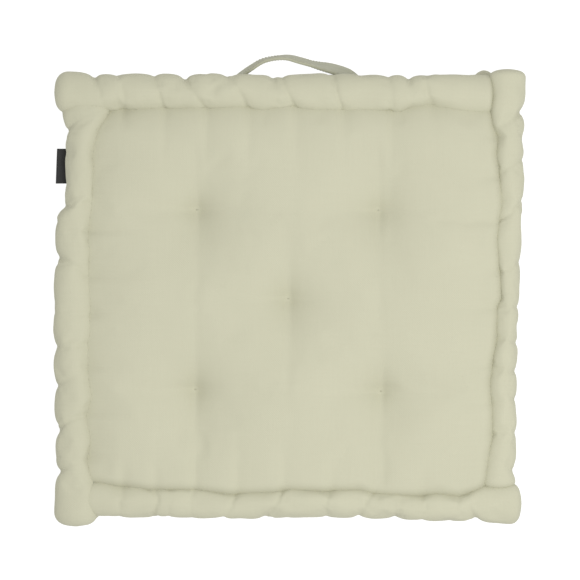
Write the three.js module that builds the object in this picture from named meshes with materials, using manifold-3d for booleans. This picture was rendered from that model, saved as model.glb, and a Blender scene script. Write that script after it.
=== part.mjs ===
// A tufted floor cushion: two square panels and four side bands of cotton cloth round a fibre filling,
// with a stuffed roll sewn along each of its eight long edges, five ties pulled through its thickness,
// a carry strap sewn to the back band, and a folded ribbon label in the left seam.
//
// Millimetres, +Z up, +Y towards the strap. The cushion lies flat, and the origin is the middle of its
// footprint, strap and label included, on the surface that it lies on.

import * as THREE from "three";
import { mergeVertices } from "three/addons/utils/BufferGeometryUtils.js";
import Module from "manifold-3d";

// ---------------------------------------------------------------- driving dimensions

const WIDTH = 410; // along X, over the rolls at mid-side
const DEPTH = 392; // along Y, over the rolls at mid-side
const HEIGHT = 80; // from the floor to the top of the rolls
const CLOTH = 1; // thickness of the cover cloth
const GAP = 0.3; // clearance between pieces that touch

const ROLL_WIDE = 28; // an edge roll, seen from above
const ROLL_TALL = 26; // an edge roll, seen from the side
const ROLL_PINCH = 3; // how far each stitch pulls a roll in, on its radius
const STITCH_PITCH = 44; // from one pinching stitch to the next
const EAR = 4; // how far a roll's closed end stands past the neighbouring roll
const MOUTH = 3; // radius of the gathered hole that is left at a roll's other end

const BAND_INSET = 17; // from the outside of the rolls in to the side band
const BAND_BULGE = 3; // how far a side band swells at mid-height

const SEAM_DROP = 10; // how far a panel's seam lies below the top of the panel
const SHOULDER = 40; // the width over which a panel rises from its seam
const TUFT_X = 81; // the four outer ties, from the middle
const TUFT_Y = 80;
const TUFT_DEPTH = 14; // how deep a tie pulls each panel in
const TUFT_SPREAD = 32; // how far that hollow reaches
const FLOOR_PRESS = 1; // how much of the underside the floor presses flat

const ROLL_ROUND = 0.5; // length of a roll's round end, as a share of the roll's radius
const ROLL_BLUNT = 0.3; // and of its gathered end

const TWINE = 2; // diameter of a tie's twine
const KNOT = 5; // diameter of the knot at each end of a tie
const THREAD = 1; // seam thread

const STRAP_WIDE = 22;
const STRAP_THICK = 2.4;
const STRAP_REACH = 19.5; // how far the strap's arch stands past the rolls
const STRAP_SPAN = 134; // between the feet of the arch
const STRAP_PLACE = 7; // the middle of the arch's feet, along X
const STRAP_LEAN = -9; // how far the top of the arch leans along X
const STRAP_TAB = 24; // length sewn flat on the band beyond each foot
const TAB_MARGIN = 2.7; // from each edge of the band to the sewn tab
const STRAP_FOOT = 5; // length of cloth left free to bend between tab and arch
const STRAP_PINCH = 8; // width of the arch at its feet, where the cloth gathers
const STRAP_TAPER = 0.3; // share of half the arch over which it widens
const STRAP_ARCH = 2.2; // power of the arch's curve: 2 is a parabola, and more has a flatter top
const STRAP_TILT = 30; // degrees that the arch's face turns up, towards its right foot

const STITCH_INSET = 2.5; // from the edge of each tab to its rectangle of stitches
const LABEL_LONG = 31; // along the seam
const LABEL_REACH = 4; // how far the label stands past the rolls
const LABEL_LAYER = 0.6; // the ribbon is folded once, so there are two of these
const LABEL_FOLD = 0.4; // the space between them
const LABEL_PLACE = 116; // the label's middle, along Y

// ---------------------------------------------------------------- how finely shapes are cut

const TUFT_CELLS = 4; // grid cells from the middle to a tie
const EDGE_CELLS = 5; // and from that tie to the seam
const ROLL_SIDES = 8;
const LOBE_STEPS = 3;
const ROUND_SIDES = 8;
const ARCH_STEPS = 28;

// ---------------------------------------------------------------- shared places and tools

const seamX = WIDTH / 2 - ROLL_WIDE;
const seamY = DEPTH / 2 - ROLL_WIDE;
const bandX = WIDTH / 2 - BAND_INSET;
const bandY = DEPTH / 2 - BAND_INSET;
const bandLow = ROLL_TALL + GAP;
const bandTall = HEIGHT - 2 * bandLow;

// The sides in order round the cushion. Each is drawn as the back side, then turned into place.
const SIDES = [
  { name: "back", turn: 0, along: WIDTH, across: DEPTH },
  { name: "left", turn: 1, along: DEPTH, across: WIDTH },
  { name: "front", turn: 2, along: WIDTH, across: DEPTH },
  { name: "right", turn: 3, along: DEPTH, across: WIDTH },
];

const TIES = [
  { name: "centre", x: 0, y: 0 },
  { name: "back_left", x: -TUFT_X, y: TUFT_Y },
  { name: "back_right", x: TUFT_X, y: TUFT_Y },
  { name: "front_left", x: -TUFT_X, y: -TUFT_Y },
  { name: "front_right", x: TUFT_X, y: -TUFT_Y },
];

const wasm = await Module();
wasm.setup();

/** A closed geometry as a manifold-3d solid, to be cut or joined. */
function toSolid(geometry) {
  const bare = geometry.index ? geometry.toNonIndexed() : geometry.clone();
  bare.deleteAttribute("normal");
  bare.deleteAttribute("uv");
  const merged = mergeVertices(bare, 1e-3);
  const mesh = new wasm.Mesh({
    numProp: 3,
    vertProperties: merged.attributes.position.array,
    triVerts: new Uint32Array(merged.index.array),
  });
  return new wasm.Manifold(mesh);
}

/** A manifold-3d solid as a geometry. */
function toGeometry(solid) {
  const mesh = solid.getMesh();
  const geometry = new THREE.BufferGeometry();
  geometry.setAttribute("position", new THREE.BufferAttribute(mesh.vertProperties, 3));
  geometry.setIndex(new THREE.BufferAttribute(mesh.triVerts, 1));
  geometry.computeVertexNormals();
  return geometry;
}

/** Moves each vertex of a geometry to where place(x, y, z) says. */
function reshape(geometry, place) {
  const position = geometry.attributes.position;
  for (let i = 0; i < position.count; i++) {
    position.setXYZ(i, ...place(position.getX(i), position.getY(i), position.getZ(i)));
  }
  geometry.computeVertexNormals();
  return geometry;
}

const MATERIALS = {
  cloth: new THREE.MeshStandardMaterial({ color: 0xcccbb2, roughness: 0.95, metalness: 0 }),
  fibre: new THREE.MeshStandardMaterial({ color: 0xeeeae0, roughness: 1, metalness: 0 }),
  thread: new THREE.MeshStandardMaterial({ color: 0xb9b99c, roughness: 0.8, metalness: 0 }),
  strap: new THREE.MeshStandardMaterial({ color: 0xbfc3aa, roughness: 0.95, metalness: 0 }),
  ribbon: new THREE.MeshStandardMaterial({ color: 0x121212, roughness: 0.7, metalness: 0 }),
};

/** A named piece of the cushion. */
function piece(name, geometry, material) {
  const mesh = new THREE.Mesh(geometry, MATERIALS[material]);
  mesh.name = name;
  return mesh;
}

// ---------------------------------------------------------------- the panels and the filling

/** 0 at a panel's seam and 1 once it has risen, for a distance in from the seam. */
function rise(distance) {
  return Math.sin((Math.PI / 2) * Math.min(1, Math.max(0, distance / SHOULDER)));
}

/** How far a panel falls towards its seams and its ties, at a point. */
function fall(x, y) {
  const edge = 1 - rise(seamX - Math.abs(x)) * rise(seamY - Math.abs(y));
  const pulls = TIES.map((tie) => Math.exp(-(((x - tie.x) ** 2 + (y - tie.y) ** 2) / TUFT_SPREAD ** 2)));
  return SEAM_DROP * edge + TUFT_DEPTH * Math.max(...pulls);
}

const panelTop = (x, y) => HEIGHT - fall(x, y);
const panelUnder = (x, y) => Math.max(0, fall(x, y) - FLOOR_PRESS);

/** A grid line at a share from -1 to 1 of the panel, with a line on each row of ties. */
function gridLine(share, tuft, edge) {
  const cell = Math.abs(share) * (TUFT_CELLS + EDGE_CELLS);
  const inner = (Math.min(cell, TUFT_CELLS) / TUFT_CELLS) * tuft;
  const outer = (Math.max(cell - TUFT_CELLS, 0) / EDGE_CELLS) * (edge - tuft);
  return Math.sign(share) * (inner + outer);
}

/** A box whose lower face is split along the same diagonals as its upper face, so that layers nest. */
function griddedBox(cells) {
  const box = new THREE.BoxGeometry(2, 2, 2, cells, cells, 1);
  const lowerFace = box.groups[5];
  for (let i = lowerFace.start; i < lowerFace.start + lowerFace.count; i += 6) {
    const [a, b, d, , c] = box.index.array.slice(i, i + 6);
    box.index.array.set([a, b, c, a, c, d], i);
  }
  return box;
}

/** The space inside the seams between two surfaces, each a function of x and y. */
function layer(upper, lower) {
  return reshape(griddedBox(2 * (TUFT_CELLS + EDGE_CELLS)), (u, v, w) => {
    const x = gridLine(u, TUFT_X, seamX - GAP);
    const y = gridLine(v, TUFT_Y, seamY - GAP);
    return [x, y, w > 0 ? upper(x, y) : lower(x, y)];
  });
}

/** Bores a hole for the twine through a layer at each tie. */
function boredForTies(solid) {
  const bit = new THREE.CylinderGeometry(TWINE / 2 + GAP, TWINE / 2 + GAP, 2 * HEIGHT, ROUND_SIDES);
  bit.rotateX(Math.PI / 2);
  return TIES.reduce((left, tie) => left.subtract(toSolid(bit.clone().translate(tie.x, tie.y, 0))), solid);
}

function topPanel() {
  const sheet = layer(panelTop, (x, y) => panelTop(x, y) - CLOTH);
  return piece("top_panel", toGeometry(boredForTies(toSolid(sheet))), "cloth");
}

function bottomPanel() {
  const sheet = layer((x, y) => panelUnder(x, y) + CLOTH, panelUnder);
  return piece("bottom_panel", toGeometry(boredForTies(toSolid(sheet))), "cloth");
}

/** The block of fibre fills the panels, and reaches out between the rolls to the side bands. */
function filling() {
  const inside = CLOTH + GAP;
  const block = layer(
    (x, y) => panelTop(x, y) - inside,
    (x, y) => panelUnder(x, y) + inside,
  );
  const waist = new THREE.BoxGeometry(2 * (bandX - inside), 2 * (bandY - inside), bandTall);
  waist.translate(0, 0, HEIGHT / 2);
  return piece("filling", toGeometry(boredForTies(toSolid(block).add(toSolid(waist)))), "fibre");
}

// ---------------------------------------------------------------- the ties

/** One tie: twine through the cushion, with a round knot in the hollow of each panel. */
function tie({ name, x, y }) {
  const low = panelUnder(x, y) - KNOT / 2;
  const high = panelTop(x, y) + KNOT / 2;
  const half = (high - low) / 2;
  const neck = Math.asin(TWINE / KNOT);
  const steps = ROUND_SIDES / 2;
  const profile = [];
  for (const end of [-1, 1]) {
    for (let i = 0; i <= steps; i++) {
      const angle = ((end < 0 ? i : steps - i) / steps) * (Math.PI - neck);
      const across = (KNOT / 2) * Math.sin(angle);
      profile.push(new THREE.Vector2(across, end * (half + (KNOT / 2) * Math.cos(angle))));
    }
  }
  const body = new THREE.LatheGeometry(profile, ROUND_SIDES);
  body.rotateX(Math.PI / 2);
  const mesh = piece(`tuft_tie_${name}`, body, "thread");
  mesh.position.set(x, y, (low + high) / 2);
  return mesh;
}

// ---------------------------------------------------------------- the edge rolls

/** A body turned round local X, from a profile of (station, radius), and squashed to a roll's section. */
function turned(profile) {
  const points = profile.map(([station, radius]) => new THREE.Vector2(radius, station));
  const body = new THREE.LatheGeometry(points, ROLL_SIDES);
  body.rotateZ(-Math.PI / 2);
  body.scale(1, 1, ROLL_TALL / ROLL_WIDE);
  return body;
}

/**
 * A roll's sleeve. It starts closed and round at its ear, is pinched by each stitch, and ends gathered to a
 * small mouth. Its outline runs along the outside, through the mouth and back along the lining.
 */
function rollCover(length) {
  const radius = ROLL_WIDE / 2;
  const lobes = Math.max(2, Math.round(length / STITCH_PITCH));
  const outside = [
    [0, 0],
    [radius * ROLL_ROUND * 0.25, radius * 0.5],
    [radius * ROLL_ROUND, radius * 0.87],
  ];
  for (let step = 1; step < lobes * LOBE_STEPS; step++) {
    const pinched = step % LOBE_STEPS === 0;
    outside.push([(length * step) / (lobes * LOBE_STEPS), pinched ? radius - ROLL_PINCH : radius]);
  }
  outside.push([length - radius * ROLL_BLUNT, radius * 0.85], [length, radius * 0.5], [length, MOUTH]);

  const inside = outside.map(([station, r], i) => {
    const inward = i < 3 ? CLOTH : i >= outside.length - 3 ? -CLOTH : 0;
    return [station + inward, i === outside.length - 1 ? MOUTH : Math.max(0, r - CLOTH)];
  });
  return turned([...outside, ...inside.reverse()]);
}

/** The wadding that stuffs a sleeve, a plain round bolster that clears the pinches. */
function rollWadding(length) {
  const radius = ROLL_WIDE / 2 - ROLL_PINCH - CLOTH - GAP;
  const start = ROLL_WIDE / 4 + CLOTH + GAP;
  const end = length - start;
  const round = radius * ROLL_ROUND;
  return turned([
    [start, 0],
    [start, radius * 0.6],
    [start + round, radius],
    [end - round, radius],
    [end, radius * 0.6],
    [end, 0],
  ]);
}

/** The four rolls of the top or the bottom. Each one's ear passes the mouth of the next. */
function rolls(level, height) {
  return SIDES.flatMap(({ name, turn, along, across }) => {
    const length = along + EAR - ROLL_WIDE - GAP;
    const side = new THREE.Group();
    side.rotation.z = (turn * Math.PI) / 2;
    for (const mesh of [
      piece(`roll_cover_${level}_${name}`, rollCover(length), "cloth"),
      piece(`roll_wadding_${level}_${name}`, rollWadding(length), "fibre"),
    ]) {
      mesh.position.set(-along / 2 - EAR, across / 2 - ROLL_WIDE / 2, height);
      side.add(mesh);
    }
    return side;
  });
}

// ---------------------------------------------------------------- the side bands and seam threads

/** A side band: a strip of cloth between the upper and the lower roll, swelling at mid-height. */
function sideBand({ name, turn, along, across }) {
  const start = -(along / 2 - BAND_INSET);
  const end = along / 2 - BAND_INSET - CLOTH - GAP;
  const strip = new THREE.BoxGeometry(end - start, CLOTH, bandTall, 8, 1, 4);
  reshape(strip, (x, y, z) => {
    const ends = 1 - (2 * Math.abs(x / (end - start))) ** 6;
    return [x, y + BAND_BULGE * ends * Math.cos((Math.PI * z) / bandTall), z];
  });
  const mesh = piece(`side_band_${name}`, strip, "cloth");
  mesh.position.set((start + end) / 2, across / 2 - BAND_INSET - CLOTH / 2, HEIGHT / 2);
  const side = new THREE.Group();
  side.rotation.z = (turn * Math.PI) / 2;
  side.add(mesh);
  return side;
}

/** A flat rectangular frame of thread, its outside 2x by 2y, laid in the XY plane. */
function threadFrame(x, y, thick) {
  const outline = (dx, dy) => [
    new THREE.Vector2(-dx, -dy),
    new THREE.Vector2(dx, -dy),
    new THREE.Vector2(dx, dy),
    new THREE.Vector2(-dx, dy),
  ];
  const frame = new THREE.Shape(outline(x, y));
  frame.holes.push(new THREE.Path(outline(x - THREAD, y - THREAD)));
  return new THREE.ExtrudeGeometry(frame, { depth: thick, bevelEnabled: false });
}

/** The thread that runs round in the crease between a panel and its rolls. */
function seamThread(level, height) {
  const mesh = piece(`seam_thread_${level}`, threadFrame(seamX - GAP, seamY - GAP, THREAD), "thread");
  mesh.position.z = height;
  return mesh;
}

// ---------------------------------------------------------------- the carry strap

const strapFace = bandY + BAND_BULGE + GAP; // the strap's inner face, where it is sewn to the band
const strapMiddle = strapFace + STRAP_THICK / 2;

/** How far the strap's face turns up, in radians: not at all at the left foot, -1, and most at the right. */
function strapTilt(share) {
  return THREE.MathUtils.degToRad(STRAP_TILT) * ((1 + share) / 2) ** 2;
}

const archLean = (STRAP_WIDE / 2) * Math.sin(strapTilt(0)) + (STRAP_THICK / 2) * Math.cos(strapTilt(0));
const archRise = DEPTH / 2 + STRAP_REACH - archLean - strapMiddle;

/** The arch of the strap, seen from above: a point for a share from -1, the left foot, to 1, the right. */
function archPoint(share) {
  const x = STRAP_PLACE + (STRAP_SPAN / 2) * share + STRAP_LEAN * (1 - share ** 2);
  return new THREE.Vector2(x, strapMiddle + archRise * (1 - Math.abs(share) ** STRAP_ARCH));
}

/** The free arch of the strap. Its feet are gathered narrow, so that it can swing clear of the band. */
function strapArch() {
  const reach = 1 - STRAP_FOOT / (STRAP_SPAN / 2);
  const ribbon = new THREE.BoxGeometry(2 * reach, STRAP_THICK, 1, ARCH_STEPS, 1, 2);
  reshape(ribbon, (share, off, up) => {
    const at = archPoint(share);
    const step = 0.01;
    const along = archPoint(share + step).sub(archPoint(share - step)).normalize();
    const open = Math.min(1, (reach - Math.abs(share)) / STRAP_TAPER);
    const wide = STRAP_PINCH + (STRAP_WIDE - STRAP_PINCH) * Math.sin((open * Math.PI) / 2);
    const tilt = strapTilt(share) * open;
    const outward = off * Math.cos(tilt) + up * wide * Math.sin(tilt);
    const upward = up * wide * Math.cos(tilt) - off * Math.sin(tilt);
    return [at.x - along.y * outward, at.y + along.x * outward, HEIGHT / 2 + upward];
  });
  return piece("handle_strap", ribbon, "strap");
}

/** The two ends of the strap, sewn flat on the back band, each with a rectangle of stitches. */
function strapEnds() {
  const tall = bandTall - 2 * TAB_MARGIN;
  return [-1, 1].flatMap((hand) => {
    const side = hand < 0 ? "left" : "right";
    const middle = STRAP_PLACE + hand * (STRAP_SPAN / 2 + STRAP_TAB / 2);
    const flat = new THREE.BoxGeometry(STRAP_TAB, STRAP_THICK, tall);
    const tab = piece(`handle_end_${side}`, flat, "strap");
    tab.position.set(middle, strapMiddle, HEIGHT / 2);

    const frame = threadFrame(STRAP_TAB / 2 - STITCH_INSET, tall / 2 - STITCH_INSET, THREAD / 2);
    const stitches = piece(`handle_stitch_${side}`, frame, "thread");
    stitches.rotation.x = -Math.PI / 2;
    stitches.position.set(middle, strapFace + STRAP_THICK + GAP, HEIGHT / 2);
    return [tab, stitches];
  });
}

// ---------------------------------------------------------------- the label

/** A ribbon folded once, its two ends caught in the seam under the left upper roll. */
function sideLabel() {
  const thick = 2 * LABEL_LAYER + LABEL_FOLD;
  const root = bandX + thick / 2 + 2 * GAP;
  const reach = WIDTH / 2 + LABEL_REACH - root - thick / 2;
  const hairpin = new THREE.Shape();
  hairpin.moveTo(0, thick / 2);
  hairpin.lineTo(-reach, thick / 2);
  hairpin.absarc(-reach, 0, thick / 2, Math.PI / 2, (3 * Math.PI) / 2, false);
  hairpin.lineTo(0, -thick / 2);
  hairpin.lineTo(0, -LABEL_FOLD / 2);
  hairpin.lineTo(-reach, -LABEL_FOLD / 2);
  hairpin.absarc(-reach, 0, LABEL_FOLD / 2, (3 * Math.PI) / 2, Math.PI / 2, true);
  hairpin.lineTo(0, LABEL_FOLD / 2);
  const body = new THREE.ExtrudeGeometry(hairpin, {
    depth: LABEL_LONG,
    bevelEnabled: false,
    curveSegments: ROUND_SIDES,
  });
  body.rotateX(Math.PI / 2);
  const mesh = piece("side_label", body, "ribbon");
  mesh.position.set(-root, LABEL_PLACE + LABEL_LONG / 2, HEIGHT - ROLL_TALL - 2 * GAP - thick / 2);
  return mesh;
}

// ---------------------------------------------------------------- the whole cushion

const cushion = new THREE.Group();
cushion.add(filling(), bottomPanel(), topPanel());
cushion.add(...TIES.map(tie));
cushion.add(...SIDES.map(sideBand));
cushion.add(...rolls("bottom", ROLL_TALL / 2), ...rolls("top", HEIGHT - ROLL_TALL / 2));
cushion.add(seamThread("top", HEIGHT - SEAM_DROP + 2 * GAP));
cushion.add(seamThread("bottom", SEAM_DROP - FLOOR_PRESS - 2 * GAP - THREAD));
cushion.add(strapArch(), ...strapEnds(), sideLabel());

const footprint = new THREE.Box3().setFromObject(cushion).getCenter(new THREE.Vector3());
cushion.position.set(-footprint.x, -footprint.y, 0);

const part = new THREE.Group();
part.add(cushion);

export default part;
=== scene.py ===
import math
from collections import namedtuple

import bpy
import numpy as np
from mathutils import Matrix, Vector, noise
from mathutils.bvhtree import BVHTree


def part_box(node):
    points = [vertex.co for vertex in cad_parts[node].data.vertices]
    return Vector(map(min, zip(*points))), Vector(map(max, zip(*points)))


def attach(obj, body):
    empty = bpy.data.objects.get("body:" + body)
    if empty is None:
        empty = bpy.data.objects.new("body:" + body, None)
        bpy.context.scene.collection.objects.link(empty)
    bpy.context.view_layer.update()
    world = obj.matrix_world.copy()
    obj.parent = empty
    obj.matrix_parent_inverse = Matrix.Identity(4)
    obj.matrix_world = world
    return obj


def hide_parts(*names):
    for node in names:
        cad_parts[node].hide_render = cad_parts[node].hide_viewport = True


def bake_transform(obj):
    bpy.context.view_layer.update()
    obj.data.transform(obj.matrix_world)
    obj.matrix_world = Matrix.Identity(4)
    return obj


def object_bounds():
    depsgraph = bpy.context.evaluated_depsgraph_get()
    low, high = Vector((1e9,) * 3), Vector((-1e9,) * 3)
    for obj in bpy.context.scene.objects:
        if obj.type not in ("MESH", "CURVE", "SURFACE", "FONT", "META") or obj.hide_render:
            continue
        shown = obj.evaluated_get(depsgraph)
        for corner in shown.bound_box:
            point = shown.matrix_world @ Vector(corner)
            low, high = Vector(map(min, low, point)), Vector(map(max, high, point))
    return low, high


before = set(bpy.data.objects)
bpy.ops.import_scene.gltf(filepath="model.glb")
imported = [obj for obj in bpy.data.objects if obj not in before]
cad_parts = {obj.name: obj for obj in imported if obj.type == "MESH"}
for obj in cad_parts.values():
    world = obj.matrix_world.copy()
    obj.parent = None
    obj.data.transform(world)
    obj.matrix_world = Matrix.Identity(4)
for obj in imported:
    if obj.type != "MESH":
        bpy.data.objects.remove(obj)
cad_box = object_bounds()
bpy.ops.object.select_all(action="DESELECT")


# The top panel: a square of matt plain-weave cotton, sewn to the rolls along a
# seam below its crown and pulled down by five ties, so that it swells between
# them and folds out from every stitch.

# The hand stitches round the edge, side by side: where each pulls a roll in at its outer
# side and at its seam, how deep it dips there, how deep a crease it draws between them,
# and how far its fold runs out over the panel, all in metres.
Stitch = namedtuple("Stitch", "outer inner dip crease fold")

stitches = {
    "back": [
        Stitch(-0.172, -0.162, 0.0046, 0.0003, 0.000),
        Stitch(-0.151, -0.146, 0.0004, 0.0011, 0.010),
        Stitch(-0.119, -0.110, 0.0012, 0.0017, 0.030),
        Stitch(-0.092, -0.073, 0.0045, 0.0017, 0.060),
        Stitch(-0.055, -0.036, 0.0020, 0.0014, 0.034),
        Stitch(-0.014, -0.012, 0.0035, 0.0005, 0.000),
        Stitch(-0.006, 0.006, 0.0008, 0.0024, 0.044),
        Stitch(0.040, 0.048, 0.0005, 0.0017, 0.026),
        Stitch(0.088, 0.090, 0.0010, 0.0017, 0.070),
        Stitch(0.106, 0.108, 0.0040, 0.0005, 0.000),
        Stitch(0.122, 0.127, 0.0005, 0.0011, 0.012),
    ],
    "left": [
        Stitch(-0.155, -0.143, 0.0042, 0.0004, 0.010),
        Stitch(-0.119, -0.103, 0.0033, 0.0006, 0.022),
        Stitch(-0.079, -0.062, 0.0028, 0.0006, 0.022),
        Stitch(-0.044, -0.040, 0.0020, 0.0006, 0.000),
        Stitch(-0.014, -0.016, 0.0006, 0.0007, 0.010),
        Stitch(0.035, 0.018, 0.0037, 0.0008, 0.022),
        Stitch(0.066, 0.058, 0.0009, 0.0007, 0.028),
        Stitch(0.080, 0.084, 0.0042, 0.0004, 0.000),
        Stitch(0.146, 0.168, 0.0042, 0.0006, 0.000),
    ],
    "front": [
        Stitch(-0.150, -0.146, 0.0005, 0.0010, 0.016),
        Stitch(-0.120, -0.118, 0.0005, 0.0017, 0.018),
        Stitch(-0.106, -0.104, 0.0013, 0.0003, 0.000),
        Stitch(-0.085, -0.083, 0.0005, 0.0013, 0.060),
        Stitch(-0.058, -0.046, 0.0005, 0.0012, 0.030),
        Stitch(-0.021, -0.005, 0.0020, 0.0013, 0.026),
        Stitch(0.034, 0.037, 0.0005, 0.0008, 0.024),
        Stitch(0.062, 0.076, 0.0029, 0.0012, 0.050),
        Stitch(0.094, 0.098, 0.0032, 0.0003, 0.000),
        Stitch(0.118, 0.118, 0.0005, 0.0010, 0.010),
        Stitch(0.166, 0.157, 0.0038, 0.0005, 0.000),
    ],
    "right": [
        Stitch(-0.154, -0.139, 0.0025, 0.0004, 0.000),
        Stitch(-0.120, -0.122, 0.0005, 0.0007, 0.006),
        Stitch(-0.090, -0.094, 0.0011, 0.0011, 0.010),
        Stitch(-0.066, -0.061, 0.0024, 0.0011, 0.012),
        Stitch(-0.041, -0.038, 0.0022, 0.0003, 0.000),
        Stitch(-0.009, -0.010, 0.0021, 0.0013, 0.014),
        Stitch(0.030, 0.022, 0.0006, 0.0009, 0.010),
        Stitch(0.085, 0.066, 0.0016, 0.0013, 0.040),
        Stitch(0.121, 0.106, 0.0019, 0.0014, 0.016),
        Stitch(0.143, 0.141, 0.0004, 0.0004, 0.008),
        Stitch(0.164, 0.150, 0.0052, 0.0002, 0.000),
    ],
}

# Where each roll is sewn to the panel: place along the side and distance outwards
# from the middle of the cushion, wandering as hand stitching does.
seam_line = {
    "back": [
        (-0.170, 0.1640), (-0.110, 0.1645), (-0.052, 0.1665), (-0.022, 0.1640), (0.000, 0.1670),
        (0.025, 0.1640), (0.060, 0.1650), (0.098, 0.1625), (0.125, 0.1680), (0.155, 0.1635), (0.180, 0.1620),
    ],
    "left": [
        (-0.170, 0.1710), (-0.145, 0.1765), (-0.127, 0.1735), (-0.106, 0.1770), (-0.090, 0.1720),
        (-0.060, 0.1755), (-0.030, 0.1725), (0.018, 0.1755), (0.040, 0.1725), (0.058, 0.1750),
        (0.085, 0.1720), (0.130, 0.1695), (0.148, 0.1660), (0.166, 0.1570),
    ],
    "front": [
        (-0.170, 0.1635), (-0.145, 0.1655), (-0.118, 0.1685), (-0.084, 0.1685), (-0.050, 0.1725),
        (-0.012, 0.1704), (0.001, 0.1686), (0.036, 0.1698), (0.062, 0.1686), (0.078, 0.1730),
        (0.117, 0.1740), (0.132, 0.1720), (0.150, 0.1740), (0.171, 0.1670),
    ],
    "right": [
        (-0.167, 0.1705), (-0.138, 0.1750), (-0.122, 0.1780), (-0.094, 0.1775), (-0.074, 0.1755),
        (-0.043, 0.1805), (-0.010, 0.1825), (-0.002, 0.1865), (0.022, 0.1855), (0.050, 0.1825),
        (0.081, 0.1865), (0.107, 0.1845), (0.126, 0.1810), (0.141, 0.1825), (0.152, 0.1790), (0.190, 0.1790),
    ],
}


def seam_out(side, place):
    """How far outwards the seam of a side runs at a place along it."""
    return np.interp(place, *zip(*seam_line[side]))


panel_low, panel_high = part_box("top_panel")
middle = (panel_low + panel_high) / 2
panel_tuck = 0.0050
panel_half = ((panel_high.x - panel_low.x) / 2 + panel_tuck, (panel_high.y - panel_low.y) / 2 + panel_tuck)
panel_mesh = 0.0034
cloth_thickness = 0.0008
shoulders = {
    "back": (0.034, 0.0085),
    "left": (0.046, 0.0062),
    "front": (0.011, 0.0092),
    "right": (0.010, 0.0086),
}
tuft_wander = ((0.0, -0.0020), (0.0, -0.0030), (-0.0012, -0.0034), (-0.0014, -0.0024), (0.0012, -0.0040))
tuft_pull, tuft_slump = 0.0190, 0.0030
tuft_places = ("centre", "back_left", "back_right", "front_left", "front_right")
tufts = [
    (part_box(f"tuft_tie_{place}")[0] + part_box(f"tuft_tie_{place}")[1]) / 2 + Vector((*wander, 0))
    for place, wander in zip(tuft_places, tuft_wander)
]


def soft_ridge(distance, width, other_width=None, sharpness=0.0010):
    """1 on a crease, falling away on both sides, over other_width where distance is negative."""
    reach = np.where(distance < 0, other_width or width, width)
    return np.exp(-(np.sqrt(distance**2 + sharpness**2) - sharpness) / reach)


def lumps(x, y, z, size, depth):
    """Gentle uneven swelling, the same each time."""
    spots = np.broadcast_arrays(x, y, z)
    return depth * np.array([noise.noise(Vector(spot) / size) for spot in zip(*(a.ravel() for a in spots))])


def panel_height(x, y):
    """How far the cloth lies below its crown."""
    gap = {
        "back": seam_out("back", x) - (y - middle.y),
        "front": seam_out("front", x) + (y - middle.y),
        "right": seam_out("right", y - middle.y) - x,
        "left": seam_out("left", y - middle.y) + x,
    }
    gap = {side: distance + panel_tuck for side, distance in gap.items()}
    drop = lumps(x, y, 0, 0.050, 0.0007) + lumps(x, y, 0.3, 0.022, 0.0003)
    for side, (reach, depth) in shoulders.items():
        drop += depth * (1 - np.clip(gap[side] / reach, 0, 1)) ** 2.4
    for tuft in tufts:
        across, along = x - tuft.x, y - tuft.y
        crosswise = soft_ridge(across, 0.019, 0.0260, 0.0005)
        lengthwise = soft_ridge(-along, 0.031, 0.0240, 0.0005)
        hollow = np.exp(-(((across - 0.008) / 0.030) ** 2) - ((along + 0.012) / 0.036) ** 2)
        drop += tuft_pull * crosswise * lengthwise + tuft_slump * hollow
    for side, row in stitches.items():
        place = x if side in ("back", "front") else y - middle.y
        for stitch in row:
            if stitch.fold:
                reach = np.exp(-((np.clip(gap[side] - panel_tuck, 0, 1) / stitch.fold) ** 1.3))
                fold = soft_ridge(place - stitch.inner, 0.0090 + 0.06 * gap[side], 0.0025)
                drop += 0.0030 * reach * fold
    return drop


def vertices_of(piece):
    """The piece's own points as an array, one row each."""
    points = np.zeros(len(piece.data.vertices) * 3)
    piece.data.vertices.foreach_get("co", points)
    return points.reshape(-1, 3)


def move_vertices(piece, points):
    """The piece's points take new places."""
    piece.data.vertices.foreach_set("co", np.asarray(points, float).ravel())
    piece.data.update()


def scale_weave(piece, wide, long):
    """The piece's own map, measured in metres of cloth, so that the weave has one size everywhere."""
    layer = piece.data.uv_layers.active
    corners = np.zeros(len(layer.data) * 2)
    layer.data.foreach_get("uv", corners)
    layer.data.foreach_set("uv", (corners.reshape(-1, 2) * (wide, long)).ravel())


cloth_frames = 20


def inflate(piece, sewn, pressure, ease, cap):
    """The filling blows the cloth up while its sewn points hold; no point moves further than cap."""
    before = vertices_of(piece)
    group = piece.vertex_groups.new(name="sewn")
    group.add([int(i) for i in np.flatnonzero(sewn)], 1.0, "REPLACE")
    cloth = piece.modifiers.new("cloth", "CLOTH")
    cloth.settings.quality = 6
    cloth.settings.mass = 0.2
    cloth.settings.tension_stiffness = 25
    cloth.settings.compression_stiffness = 25
    cloth.settings.shear_stiffness = 6
    cloth.settings.bending_stiffness = 0.6
    cloth.settings.shrink_min = -ease
    cloth.settings.vertex_group_mass = group.name
    cloth.settings.use_pressure = True
    cloth.settings.uniform_pressure_force = pressure
    cloth.settings.effector_weights.gravity = 0
    cloth.collision_settings.use_collision = False
    cloth.point_cache.frame_start = 1
    cloth.point_cache.frame_end = cloth_frames
    for number in range(1, cloth_frames + 1):
        bpy.context.scene.frame_set(number)
    shaped = piece.evaluated_get(bpy.context.evaluated_depsgraph_get()).to_mesh()
    after = np.zeros(len(shaped.vertices) * 3)
    shaped.vertices.foreach_get("co", after)
    piece.modifiers.remove(cloth)
    piece.vertex_groups.remove(group)
    bpy.context.scene.frame_set(1)
    step = after.reshape(-1, 3) - before
    length = np.linalg.norm(step, axis=1, keepdims=True)
    reach = cap * np.tanh(length / cap)
    move_vertices(piece, before + step / np.maximum(length, 1e-9) * reach)


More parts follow.
